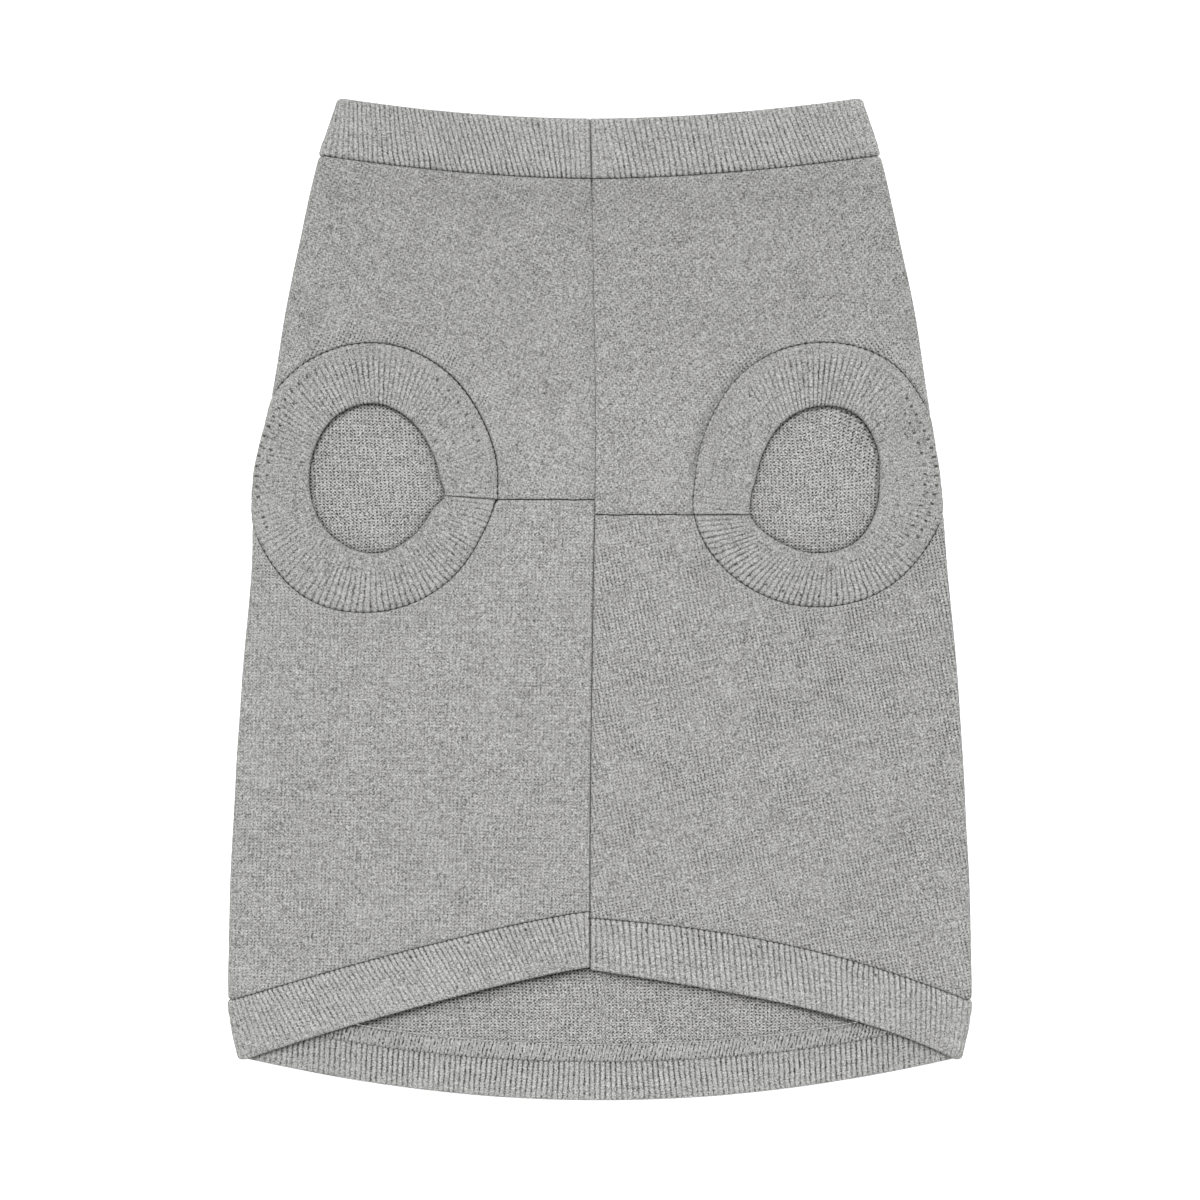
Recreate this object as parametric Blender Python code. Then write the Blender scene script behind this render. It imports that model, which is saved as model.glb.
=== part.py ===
"""A dog's sleeveless knitted T-shirt, laid flat with its belly side up and its neck towards +Y.

The body is one cut piece. It starts at the seam along the belly, turns under at the left side,
runs across the back, turns up at the right side and meets itself again at the belly seam. A short
seam crosses each half from the belly seam to the armhole. Five pieces in all: the body, the neck
band, the hem band and a band round each armhole, every band a doubled strip of rib knit.

Each piece starts as a flat grid of cells, doubled into a closed wall. A point of the laid garment
is named by its side, its station round the garment, its height up the garment and its depth below
the outer face of the cloth. Lengths are in millimetres until the last step, which gives metres.
"""

import math

import bmesh
import bpy
from mathutils import Vector

MM = 0.001

# Cloth
CLOTH = 1.0  # one layer of the body's fine rib knit
BAND = 2.0  # a doubled band
SEAM_GAP = 0.3  # between two pieces at a seam
FOLDED_GAP = 0.4  # at an armhole's seam, which turns round the side fold
LAYER_GAP = 0.3  # between the belly side and the back that it lies on
BAND_WIDTH = 17.2

# How far the cloth takes to settle from a band's level back to its own
BAND_REACH = 14.0
ARMHOLE_REACH = 9.0
FOLD_REACH = 10.0  # across the armhole band, inwards from the side fold
FOLD_FLAT = 4.0  # the armhole band stays at its full level this far in
OVERLAP_REACH = 10.0  # where the belly hem climbs over the back hem
OVERLAP_FLAT = 6.0

# Stations round one half of the garment
FRONT, FOLD, BACK, MIDDLE = 1, 2, 3, 4  # 0 is the belly seam, MIDDLE the middle of the back

# Half the garment's width, from the hem's corner to the neck's
SIDE_FOLD = (
    # (up, half_width)
    (-137.4, 108.4),
    (-126.0, 110.9),
    (-114.0, 111.5),
    (-78.0, 110.6),
    (-24.0, 107.4),
    (18.0, 103.3),
    (54.0, 99.0),
    (84.0, 94.8),
    (108.0, 90.0),
    (132.0, 84.5),
    (150.0, 78.6),
)

# The belly seam wanders a little to the left of the middle
BELLY_SEAM = (
    # (up, across)
    (-111.0, -3.0),
    (-57.0, -2.9),
    (0.0, -2.1),
    (50.0, -1.3),
    (87.0, -1.8),
    (125.0, -2.5),
    (144.0, -3.0),
)

# Edges and seams that run round the garment: height in the middle, height at the side fold, bend
NECK = {"seam": (126.8, 133.6, 1.7), "edge": (144.1, 150.0, 1.8)}
HEM_BACK = {"seam": (-133.2, -119.4, 2.1), "edge": (-150.0, -137.4, 2.0)}
HEM_BELLY = {
    -1: {"seam": (-93.2, -119.4, 1.2), "edge": (-110.6, -137.4, 1.15)},
    1: {"seam": (-95.0, -119.4, 1.6), "edge": (-111.4, -137.4, 1.4)},
}

# The armholes: -1 is the left one, 1 the right one. A bearing of 0 points at the side fold, 90 at
# the neck and 180 at the belly seam. The band's ends meet at the bearing called ends.
ARMHOLES = {
    -1: {
        "across": 66.9, "up": 36.6, "ends": 190.4, "skew": 4.5, "bulge": 2.7,
        "radii": (
            # (bearing, seam, opening)
            (0.0, 39.6, 20.1),
            (30.0, 39.4, 20.7),
            (60.0, 40.5, 22.2),
            (90.0, 40.4, 22.2),
            (120.0, 38.4, 20.0),
            (150.0, 36.3, 18.4),
            (180.0, 36.4, 19.0),
            (195.0, 36.2, 21.0),
            (210.0, 36.0, 19.3),
            (240.0, 38.1, 20.7),
            (270.0, 40.2, 21.9),
            (300.0, 41.7, 21.9),
            (330.0, 40.0, 21.0),
        ),
    },
    1: {
        "across": 65.1, "up": 36.6, "ends": 196.7, "skew": 12.2, "bulge": 0.7,
        "radii": (
            # (bearing, seam, opening)
            (0.0, 39.6, 18.6),
            (30.0, 38.6, 20.2),
            (60.0, 41.0, 22.2),
            (90.0, 40.5, 21.4),
            (120.0, 39.0, 19.6),
            (150.0, 36.6, 18.0),
            (180.0, 36.6, 18.4),
            (195.0, 38.5, 20.6),
            (210.0, 39.1, 23.0),
            (240.0, 38.8, 22.0),
            (270.0, 38.7, 21.9),
            (300.0, 39.0, 21.8),
            (330.0, 38.7, 20.1),
        ),
    },
}
BULGE_SPREAD = 18.0

# Cells of the meshes
SLIT_CELLS = 4  # along a cross seam
ARMHOLE_CELLS = 11  # round the armhole's upper half, and as many round its lower half
FOLD_CELLS = 6  # round the side fold
BACK_CELLS = 7  # from the side fold to the middle of the back
UPPER_CELLS = 8  # from the armhole to the neck seam
LOWER_CELLS = 9  # from the armhole to the hem seam
FRONT_CELLS = 9  # along a band, from the belly seam to the side fold
BAND_STEPS = (0.0, 0.35, 0.7)  # shares of a band's width, before its rounded edge
ARMHOLE_STEPS = (0.0, 0.064, 0.128, 0.192, 0.256, 0.5, 0.78)
EDGE_STEPS = (0.0, 0.7, 0.97)  # shares of the rounded edge, which is half a band's thickness

# Finish
HEATHER_GREY = (0.38, 0.38, 0.372, 1.0)
ROUGHNESS = 0.92


def mix(low, high, share):
    return low + (high - low) * share


def ease(share):
    """0 below 0, 1 above 1 and smooth between."""
    share = min(max(share, 0.0), 1.0)
    return share * share * (3.0 - 2.0 * share)


def curve_through(rows, at, column=1):
    """A smooth curve through the rows of a table, read at one value of its first column."""
    last = len(rows) - 1
    here = 0
    while here < last - 1 and at > rows[here + 1][0]:
        here += 1

    def slope(row):
        before, after = rows[max(row - 1, 0)], rows[min(row + 1, last)]
        return (after[column] - before[column]) / (after[0] - before[0])

    low, high = rows[here], rows[here + 1]
    span = high[0] - low[0]
    t = (at - low[0]) / span
    rise = high[column] - low[column]
    return (
        low[column]
        + rise * t * t * (3.0 - 2.0 * t)
        + span * slope(here) * t * (1.0 - t) ** 2
        - span * slope(here + 1) * t * t * (1.0 - t)
    )


def height_of(curve, share):
    """Height of an edge or seam, by its share of the way from the middle to the side fold."""
    middle, side, bend = curve
    return mix(middle, side, share**bend)


def share_of(station):
    return min(station, MIDDLE - station, 1.0)


def hem_of(side, station):
    return HEM_BELLY[side] if station < FOLD else HEM_BACK


def half_width(side, up):
    """Distance from the middle to the outline, which each armhole band pushes out a little."""
    hole = ARMHOLES[side]
    push = hole["bulge"] * math.exp(-(((up - hole["up"]) / BULGE_SPREAD) ** 2))
    return curve_through(SIDE_FOLD, up) + push


def armhole_radius(side, bearing, column):
    rows = ARMHOLES[side]["radii"]
    around = [(row[0] + turn, *row[1:]) for turn in (-360.0, 0.0, 360.0) for row in rows]
    return curve_through(around, bearing, column)


def armhole_point(side, bearing, column, grow=0.0):
    """(across, up) of a point on the armhole's seam or opening, grown outwards from its centre."""
    hole = ARMHOLES[side]
    reach = armhole_radius(side, bearing, column) + grow
    angle = math.radians(bearing)
    return hole["across"] + reach * math.cos(angle), hole["up"] + reach * math.sin(angle)


def seam_point(side, bearing, grow=0.0):
    """A point on the armhole's seam. Past bearing 180 the seam runs straight to the cross seam."""
    across, up = armhole_point(side, bearing, 1, grow)
    if 180.0 < bearing % 360.0 <= ARMHOLES[side]["ends"]:
        across = min(across, armhole_point(side, 180.0, 1, grow)[0])
    return across, up


def upper_face(side, across, up):
    """Height of the belly side's outer face above the surface that the garment lies on."""
    edge = half_width(side, up)
    share = min(max(across / edge, 0.0), 1.0)
    step = BAND - CLOTH
    neck = 2.0 * step * ease(1.0 - (height_of(NECK["seam"], share) - up) / BAND_REACH)
    above_belly_hem = up - height_of(HEM_BELLY[side]["seam"], share)
    above_back_hem = up - height_of(HEM_BACK["seam"], share)
    hem = step * ease(1.0 - above_belly_hem / BAND_REACH)
    hem += step * ease(1.0 - (above_back_hem - OVERLAP_FLAT) / OVERLAP_REACH)
    hole = ARMHOLES[side]
    out, along = across - hole["across"], up - hole["up"]
    beyond = math.hypot(out, along) - armhole_radius(side, math.degrees(math.atan2(along, out)), 1)
    armhole = step * ease(1.0 - beyond / ARMHOLE_REACH)
    armhole *= 1.0 + ease(1.0 - (edge - across - FOLD_FLAT) / FOLD_REACH)
    return 2.0 * CLOTH + LAYER_GAP + max(neck, hem, armhole)


def fold_of(side, up):
    """(across, radius) where the cloth starts to turn under at the side, and how it turns."""
    edge = half_width(side, up)
    radius = upper_face(side, edge, up) / 2.0
    return edge - radius, radius


def belly_edge(side, up):
    return SEAM_GAP / 2.0 + side * curve_through(BELLY_SEAM, up)


def station_of(side, across, up):
    """The station of a point, with across counted on past the side fold onto the back."""
    turn_in, radius = fold_of(side, up)
    if across < turn_in:
        start = belly_edge(side, up)
        return (across - start) / (turn_in - start)
    return min(FRONT + (across - turn_in) / radius, BACK)


def laid(side, station, up, depth):
    """The place of a point of the laid garment, in metres."""
    turn_in, radius = fold_of(side, up)
    if station <= FRONT:
        across = mix(belly_edge(side, up), turn_in, station)
        height = upper_face(side, across, up) - depth
    elif station < BACK:
        turn = (FOLD - station) * math.pi / 2.0
        across = turn_in + (radius - depth) * math.cos(turn)
        height = radius + (radius - depth) * math.sin(turn)
    else:
        across = turn_in * (MIDDLE - station)
        height = depth
    return Vector((side * across, up, height)) * MM


def bearing_at(side, station, toward_neck):
    """The bearing at which the armhole's seam crosses a station of the side fold."""
    near, far = (0.0, 90.0) if toward_neck else (0.0, -90.0)
    for _ in range(40):
        middle = (near + far) / 2.0
        if station_of(side, *seam_point(side, middle, SEAM_GAP / 2.0)) < station:
            far = middle
        else:
            near = middle
    return far


def armhole_bearings(side, toward_neck):
    """Bearings of the body's columns round one half of an armhole, from the band's ends out."""
    ends = ARMHOLES[side]["ends"] - (0.0 if toward_neck else 360.0)
    turns = [FRONT + (BACK - FRONT) * k / FOLD_CELLS for k in range(FOLD_CELLS + 1)]
    round_fold = [bearing_at(side, station, toward_neck) for station in turns]
    front = [mix(ends, round_fold[0], k / ARMHOLE_CELLS) for k in range(ARMHOLE_CELLS)]
    return front + round_fold


def armhole_columns(side, toward_neck):
    """(far_station, near_station, near_up) of each column from the belly seam to the back's fold.

    Near is where the column meets the cross seam or the armhole, and far is at the neck or hem.
    """
    gap = SEAM_GAP / 2.0 * (1.0 if toward_neck else -1.0)
    points = [seam_point(side, b, SEAM_GAP / 2.0) for b in armhole_bearings(side, toward_neck)]
    slit_up = seam_point(side, ARMHOLES[side]["ends"])[1] + gap
    slit_across = points[0][0]
    near = [
        (station_of(side, slit_across, slit_up) * k / SLIT_CELLS, slit_up)
        for k in range(SLIT_CELLS + 1)
    ]
    near += [(station_of(side, *point), point[1]) for point in points[1:]]
    columns = []
    for k, (station, up) in enumerate(near):
        past_front = k - SLIT_CELLS - ARMHOLE_CELLS
        far = k / (SLIT_CELLS + ARMHOLE_CELLS)
        if past_front > 0:
            far = FRONT + (BACK - FRONT) * past_front / FOLD_CELLS
        columns.append((far, station, up))
    return columns


def back_columns(side, toward_neck):
    """Columns across the back, whose middle row spreads from the armhole's far end."""
    start = armhole_columns(side, toward_neck)[-1][2]
    middle = ARMHOLES[side]["up"] + (start - ARMHOLES[side]["up"]) * 2.0
    for k in range(1, BACK_CELLS + 1):
        station = BACK + k / BACK_CELLS
        yield station, station, mix(start, middle, ease(2.0 * k / BACK_CELLS))


def side_and_column(index, columns):
    """Which half of the garment a grid column is on, and its place there from the belly seam."""
    if index < columns:
        return -1, index
    return 1, 2 * columns - index


def wall_of_cells(columns, rows, place, is_cut=None):
    """A grid of cells made a closed wall. place turns (column, row, inner) into a point."""
    mesh = bmesh.new()
    bmesh.ops.create_grid(mesh, x_segments=columns, y_segments=rows, size=0.5)
    for vert in mesh.verts:
        vert.co.x = round((vert.co.x + 0.5) * columns)
        vert.co.y = round((vert.co.y + 0.5) * rows)
    if is_cut:
        cut = [f for f in mesh.faces if is_cut(*(math.floor(c) for c in f.calc_center_median()[:2]))]
        bmesh.ops.delete(mesh, geom=cut, context="FACES")
    inner = bmesh.ops.extrude_face_region(mesh, geom=mesh.faces[:])["geom"]
    for vert in inner:
        if isinstance(vert, bmesh.types.BMVert):
            vert.co.z = 1.0
    for vert in mesh.verts:
        vert.co = place(round(vert.co.x), round(vert.co.y), round(vert.co.z))
    bmesh.ops.recalc_face_normals(mesh, faces=mesh.faces[:])
    if mesh.calc_volume(signed=True) < 0.0:
        bmesh.ops.reverse_faces(mesh, faces=mesh.faces[:])
    return mesh


def make_object(name, mesh, material, parent):
    data = bpy.data.meshes.new(name)
    mesh.to_mesh(data)
    mesh.free()
    data.materials.append(material)
    data.shade_smooth()
    data.set_sharp_from_angle(angle=math.radians(40.0))
    piece = bpy.data.objects.new(name, data)
    piece.parent = parent
    bpy.context.collection.objects.link(piece)
    return piece


def body_mesh():
    """The body: one piece round the whole garment, open at the neck, the hem and both armholes."""
    upper, lower = {}, {}
    for side in (-1, 1):
        upper[side] = armhole_columns(side, True) + list(back_columns(side, True))
        lower[side] = armhole_columns(side, False) + list(back_columns(side, False))
    columns = len(upper[-1]) - 1
    open_columns = SLIT_CELLS + ARMHOLE_CELLS + FOLD_CELLS

    # The two halves share their column in the middle of the back
    for rows in (upper, lower):
        far, station, left_up = rows[-1][-1]
        right_up = rows[1][-1][2]
        rows[-1][-1] = rows[1][-1] = (far, station, (left_up + right_up) / 2.0)

    def place(column, row, inner):
        side, column = side_and_column(column, columns)
        if row <= LOWER_CELLS:
            far, near, near_up = lower[side][column]
            far_up = height_of(hem_of(side, far)["seam"], share_of(far)) + SEAM_GAP / 2.0
            share = (1.0 - math.cos(math.pi * row / LOWER_CELLS)) / 2.0
        else:
            far, near, near_up = upper[side][column]
            far_up = height_of(NECK["seam"], share_of(far)) - SEAM_GAP / 2.0
            share = (1.0 + math.cos(math.pi * (row - LOWER_CELLS - 1) / UPPER_CELLS)) / 2.0
        return laid(side, mix(far, near, share), mix(far_up, near_up, share), inner * CLOTH)

    def is_cut(column, row):
        return row == LOWER_CELLS and min(column, 2 * columns - 1 - column) < open_columns

    return wall_of_cells(2 * columns, LOWER_CELLS + 1 + UPPER_CELLS, place, is_cut)


def band_steps(steps):
    """Shares of a band's width, from its seam to its folded edge, which is rounded."""
    half = BAND / 2.0
    return list(steps) + [1.0 - (1.0 - step) * half / BAND_WIDTH for step in EDGE_STEPS]


def band_depth(share, inner):
    """Depth of a band's outer or inner face, which close on each other at the folded edge."""
    half = BAND / 2.0
    into_edge = max(0.0, 1.0 - (1.0 - share) * BAND_WIDTH / half)
    thick = half * math.sqrt(1.0 - into_edge**2)
    return half + (thick if inner else -thick)


def round_band_mesh(lines):
    """A band round the whole garment. lines gives its seam and edge at a side and station."""
    stations = [FRONT * k / FRONT_CELLS for k in range(FRONT_CELLS)]
    stations += [FRONT + (BACK - FRONT) * k / FOLD_CELLS for k in range(FOLD_CELLS)]
    stations += [BACK + (MIDDLE - BACK) * k / BACK_CELLS for k in range(BACK_CELLS + 1)]
    columns = len(stations) - 1
    steps = band_steps(BAND_STEPS)

    def place(column, row, inner):
        side, column = side_and_column(column, columns)
        station = stations[column]
        line = lines(side, station)
        seam = height_of(line["seam"], share_of(station))
        edge = height_of(line["edge"], share_of(station))
        seam += math.copysign(SEAM_GAP / 2.0, edge - seam)
        return laid(side, station, mix(seam, edge, steps[row]), band_depth(steps[row], inner))

    return wall_of_cells(2 * columns, len(steps) - 1, place)


def armhole_band_mesh(side):
    """A band round an armhole, with its two ends at the cross seam."""
    hole = ARMHOLES[side]
    bearings = armhole_bearings(side, True) + armhole_bearings(side, False)[::-1]
    columns = len(bearings) - 1
    steps = band_steps(ARMHOLE_STEPS)

    def place(column, row, inner):
        bearing = bearings[column]
        away_from_ends = (bearing - hole["ends"]) / 2.0
        skew = hole["skew"] * math.cos(math.radians(away_from_ends)) ** 4
        seam = seam_point(side, bearing, SEAM_GAP / 2.0 - FOLDED_GAP)
        opening = armhole_point(side, bearing + skew, 2)
        across, up = (mix(low, high, steps[row]) for low, high in zip(seam, opening))
        up += {0: SEAM_GAP / 2.0, columns: -SEAM_GAP / 2.0}.get(column, 0.0)
        return laid(side, station_of(side, across, up), up, band_depth(steps[row], inner))

    return wall_of_cells(columns, len(steps) - 1, place)


def knit_material(name):
    material = bpy.data.materials.new(name)
    material.use_nodes = True
    shader = material.node_tree.nodes["Principled BSDF"]
    shader.inputs["Base Color"].default_value = HEATHER_GREY
    shader.inputs["Roughness"].default_value = ROUGHNESS
    shader.inputs["Metallic"].default_value = 0.0
    return material


def main():
    for old in list(bpy.data.objects):
        bpy.data.objects.remove(old)
    garment = bpy.data.objects.new("dog_t_shirt", None)
    bpy.context.collection.objects.link(garment)
    make_object("body", body_mesh(), knit_material("fine_rib_knit"), garment)
    neck = round_band_mesh(lambda side, station: NECK)
    make_object("neck_band", neck, knit_material("neck_rib"), garment)
    make_object("hem_band", round_band_mesh(hem_of), knit_material("hem_rib"), garment)
    for side, word in ((-1, "left"), (1, "right")):
        material = knit_material(f"armhole_rib_{word}")
        make_object(f"armhole_band_{word}", armhole_band_mesh(side), material, garment)


main()
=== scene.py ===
"""Looks of a dog's sleeveless knitted T-shirt, laid flat with its belly side up and its neck to +Y.

The body is one piece of fine rib knit round the whole garment, and every band is a doubled strip
whose ribs are modelled. A point of the laid garment is named by its side, its station round the
garment, its height up the garment and its depth below the cloth's outer face, in millimetres.
"""

import math

import bmesh
import bpy
import numpy as np
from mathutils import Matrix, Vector


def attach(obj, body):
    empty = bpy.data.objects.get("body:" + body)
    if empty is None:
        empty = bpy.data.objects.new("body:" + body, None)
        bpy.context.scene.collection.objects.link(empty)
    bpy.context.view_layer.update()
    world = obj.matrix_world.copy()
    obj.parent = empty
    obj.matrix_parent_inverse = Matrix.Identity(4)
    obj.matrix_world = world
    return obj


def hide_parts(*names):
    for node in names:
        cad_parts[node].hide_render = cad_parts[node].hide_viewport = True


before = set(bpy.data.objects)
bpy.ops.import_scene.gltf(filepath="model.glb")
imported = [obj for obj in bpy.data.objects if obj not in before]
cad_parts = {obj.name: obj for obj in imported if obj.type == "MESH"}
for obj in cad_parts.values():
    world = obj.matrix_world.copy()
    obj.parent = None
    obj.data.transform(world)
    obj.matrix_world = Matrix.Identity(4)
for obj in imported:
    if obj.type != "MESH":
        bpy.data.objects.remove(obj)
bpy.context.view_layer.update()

MM = 0.001
SIDES = (-1, 1)  # the viewer's left and right

# ---- the garment's sizes, as in CAD

CLOTH = 1.0  # one layer of the body's fine rib knit
BAND = 2.0  # a doubled band
HALF_GAP = 0.11 / 2  # half of what lies between two pieces at a seam
CROSS_GROOVE = 0.14  # half the width of the groove of the seam across the belly
FOLDED_GAP = 0.09  # at an armhole's seam, which turns round the side fold
LAYER_GAP = 0.3  # between the belly side and the back that it lies on
BAND_WIDTH = 17.2

# How far the cloth takes to settle from a band's level back to its own
BAND_REACH = 14.0
ARMHOLE_REACH = 9.0
FOLD_REACH = 10.0
FOLD_FLAT = 4.0
OVERLAP_REACH = 10.0
OVERLAP_FLAT = 6.0

# Stations round one half of the garment
FRONT, FOLD, BACK, MIDDLE = 1, 2, 3, 4  # 0 is the belly seam, MIDDLE the middle of the back

# Half the garment's width, the belly seam's place across and half its groove, at heights
SIDE_FOLD = (
    (-137.4, 108.4), (-126, 110.9), (-114, 111.5), (-78, 110.6), (-24, 107.4), (18, 103.3),
    (54, 99), (84, 94.8), (108, 90), (132, 84.5), (150, 78.6),
)
BELLY_SEAM = (
    (-111, -3), (-57, -2.9), (0, -2.1), (50, -1.3), (87, -1.8), (125, -2.5), (144, -3),
)
BELLY_GROOVE = ((-150, 0.09), (20, 0.08), (34, 0.045), (122, 0.045), (129, 0.1), (150, 0.1))

# Edges and seams that run round the garment: height in the middle, height at the side fold, how the
# line bends between them and, where it is given, how far that bend is straightened
NECK = {"seam": (125.9, 132.7, 1.7), "edge": (144.1, 150.0, 1.8)}
HEM_BACK = {"seam": (-133.2, -119.4, 2.1), "edge": (-150.0, -137.4, 2.0)}
HEM_BELLY = {
    -1: {"seam": (-93.2, -119.4, 1.2), "edge": (-110.0, -137.4, 1.17)},
    1: {"seam": (-95.2, -119.4, 2.2, 0.33), "edge": (-110.7, -137.4, 3.5, 0.66)},
}

# A bearing of 0 points at the side fold, 90 at the neck and 180 at the belly seam. Ends is where
# the band's ends lie, skew how far they lean in degrees, bulge how far the band pushes the side
# fold out, and lap how far one end rises over the other. Groove is how far the band stays from its
# seam, and shown how strongly its ribs stand out, at a bearing
ARMHOLES = {
    -1: {
        "across": 66.9, "up": 36.6, "ends": 190.4, "skew": 4.5, "bulge": 2.7, "lap": 0.04,
        "groove": ((0, 0.04), (60, 0.04), (95, 0.08), (130, 0.16), (185, 0.12), (250, 0.03)),
        "shown": (
            (0, 0.28), (30, 0.5), (60, 0.8), (95, 0.85), (125, 0.45), (150, 0.2),
            (180, 0.2), (193, 0.45), (225, 0.7), (260, 0.8), (300, 0.65), (335, 0.32),
        ),
    },
    1: {
        "across": 65.1, "up": 36.6, "ends": 196.7, "skew": 12.2, "bulge": 0.7, "lap": 0.3,
        "groove": ((0, 0.04), (100, 0.06), (120, 0), (195, 0), (200, 0.08), (290, 0.04)),
        "shown": (
            (0, 0.16), (25, 0.16), (50, 0.5), (85, 1), (110, 0.75), (135, 0.3),
            (160, 0.12), (185, 0.25), (205, 0.85), (250, 0.9), (300, 0.8), (330, 0.4),
        ),
    },
}
ARMHOLE_RADII = (
    # (bearing, left seam, left opening, right seam, right opening)
    (0, 39.6, 20.1, 39.6, 18.6),
    (30, 39.4, 20.7, 38.6, 20.2),
    (60, 40.5, 22.2, 41.0, 22.2),
    (90, 40.4, 22.2, 40.5, 21.4),
    (120, 38.4, 20.0, 39.0, 19.6),
    (150, 36.3, 18.4, 36.6, 18.0),
    (180, 36.4, 19.0, 36.6, 18.4),
    (195, 36.2, 21.0, 38.5, 20.6),
    (210, 36.0, 19.3, 39.1, 23.0),
    (240, 38.1, 20.7, 38.8, 22.4),
    (270, 40.2, 22.6, 38.7, 22.6),
    (300, 41.7, 22.3, 39.0, 22.4),
    (330, 40.0, 21.0, 38.7, 20.1),
)
SEAM, OPENING = {-1: 1, 1: 3}, {-1: 2, 1: 4}  # the columns of each side
MEAN_RADIUS = 39.0  # of an armhole's seam, from which places along its band are counted
BULGE_SPREAD = 18.0
LAP_BEARING, LAP_EASE = 108.0, 20.0  # where the right band starts to lap over its seam

# About half the garment's width, at the belly side's hem and at the back's
BELLY_HALF, BACK_HALF = 111.0, 112.0
CROSS_HALF = 96.0  # and along the seam across the belly

# ---- sizes of the finish

WALE = 1.15  # from one column of stitches to the next, on the body
COURSE = 0.93  # from one row of stitches to the next
LEAN_LOWER = {-1: 0.02, 1: 0.2}  # how the body's wales lean below the cross seam, as a slope
LEAN_UPPER = {-1: 0.47, 1: 0.68}  # and above it
LEAN_LOSS = (0.14, 0.42)  # how much less the courses lean on the back, low down and high up
LEAN_CHANGE = 80.0  # how far up the back the one lean takes to become the other
LEAN_END = 0.4  # how far on to the back the lean is gone, as a station

# Cells of the body
SLIT_CELLS = 20  # along the seam across the belly
ARMHOLE_CELLS = 60
FOLD_CELLS = 14
BACK_CELLS = 50
LOWER_CELLS = 70
ACROSS_CELLS = 24  # rows of the back between the two armholes
UPPER_CELLS = 50
SLIT_CROWD, FRONT_CROWD = 1.6, 1.4  # how much closer its columns stand near the belly seam

# Ribs of the bands
ARMHOLE_RIBS = 127
CELLS_IN_A_RIB = 8
RIB_DEPTH = 0.42
RIB_SINK = 0.05  # how far a rib's crest lies below the band's nominal face
ALLOWANCE = 4.4  # width of the seam allowance that lies under a band's edge
ALLOWANCE_RISE = 0.22
SCALLOP = 0.22  # how far a band's seam is drawn in between two ribs
KINK = 0.45  # how far a rib bends sideways over the allowance

CORNER = 1.2  # radius of the body's corners where the belly seam meets the neck band
CORNER_REACH = 6.0
OUTER_SINK, INNER_SINK = 0.15, 0.1  # how far the body's faces lie inside its thickness
QUIET_SEAM = (30.0, 122.0)  # the belly seam hardly sinks between these heights

# Edges of the cloth roll down into a seam
ROLL = 0.5
ROLL_REACH = 0.8

# Rows of a band's cells on its flat part, as distances from its seam
BAND_ROWS = (0.0, 0.25, 0.6, 1.1, 1.8, 2.6, 3.4, 4.1, 4.8, 5.6, 6.8, 8.4, 10.2, 12.2, 14.2)

# Ribs of each half of the two round bands. Spread is how much wider they are on the belly side, and
# at the two middles than at the side fold. A lean is how far a rib runs along the cloth for each
# millimetre up, at a station round the garment. Bold is how strongly they stand out on the belly
# side and on the back
NECK_RIBS = {
    "ribs": {-1: 109, 1: 104},
    "seed": 20,
    "beside_seam": 0.45,
    "edge_fade": 0.1,
    "spread": {-1: (0, 0.006), 1: (0, 0.008)},
    "bold": {-1: (0.86, 0.9), 1: (0.8, 0.88)},
    "lean": {
        -1: (
            (0, 0), (0.15, 0.05), (0.3, 0.14), (0.45, 0.22), (0.75, 0.27), (1.05, 0.24),
            (1.2, 0.2), (1.35, 0.12), (1.5, 0.05), (1.8, 0.04), (2, 0), (4, 0),
        ),
        1: (
            (0, -0.08), (0.13, -0.19), (0.3, -0.18), (0.9, -0.18), (1.05, -0.25), (1.35, -0.35),
            (1.65, -0.38), (1.78, -0.26), (1.9, -0.08), (2, 0), (4, 0),
        ),
    },
}
HEM_RIBS = {
    "ribs": {-1: 147, 1: 141},
    "seed": 30,
    "beside_seam": 0.8,
    "edge_fade": 0.35,
    "spread": {-1: (-0.02, 0.0), 1: (0.012, 0.008)},
    "bold": {-1: (0.7, 1.2), 1: (0.86, 1.2)},
    "lean": {
        -1: (
            (0, 0.15), (0.11, 0.27), (0.22, 0.36), (0.43, 0.41), (0.65, 0.48), (0.97, 0.56),
            (1.5, 0.5), (1.7, 0.45), (1.85, 0.25), (2, 0.08), (2.2, 0.05),
            (3, 0.05), (3.5, 0.1), (3.8, 0.05), (4, 0),
        ),
        1: (
            (0, -0.03), (0.11, -0.06), (0.33, -0.09), (1.1, -0.1), (1.3, -0.04),
            (2, 0), (3, 0.05), (3.5, 0.12), (3.85, 0.06), (4, 0),
        ),
    },
}
# Rows of needle holes, painted as dark dots of shade: distance from the seam, spacing, and where
# along the band they show
ARMHOLE_HOLES = {
    -1: ((3.6, 3.4, 78.0, 158.0), (6.2, 4.6, 90.0, 140.0), (3.4, 5.2, 10.0, 60.0)),
    1: ((3.6, 3.1, 92.0, 172.0), (6.2, 3.9, 100.0, 165.0), (3.4, 6.1, 180.0, 240.0)),
}
HEM_HOLES = ((2.0, 16.7, -105.0, 105.0),)

# Soft unevenness: how much, how far from crest to crest, seed
UNEVEN = {
    "body_swell": (0.1, 46.0, 3), "body_dimples": (0.05, 17.0, 4),
    "cross_seam": (0.22, 12.0, 8),
    "allowance": (0.5, 19.0, 0),
    "round_strength": (0.18, 23.0, 5), "armhole_strength": (0.15, 17.0, 6),
    "round_level": (0.06, 31.0, 1), "armhole_level": (0.05, 26.0, 63),
    "round_kink": (1.0, 15.0, 2), "armhole_kink": (1.0, 13.0, 66),
    "round_wander": (0.1, 6.0, 3), "armhole_wander": (0.15, 5.0, 69),
    "sewn_edge": (0.02, 21.0, 71), "sewn_puff": (0.12, 9.0, 72), "cut_edge": (0.05, 4.0, 74),
}

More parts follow.
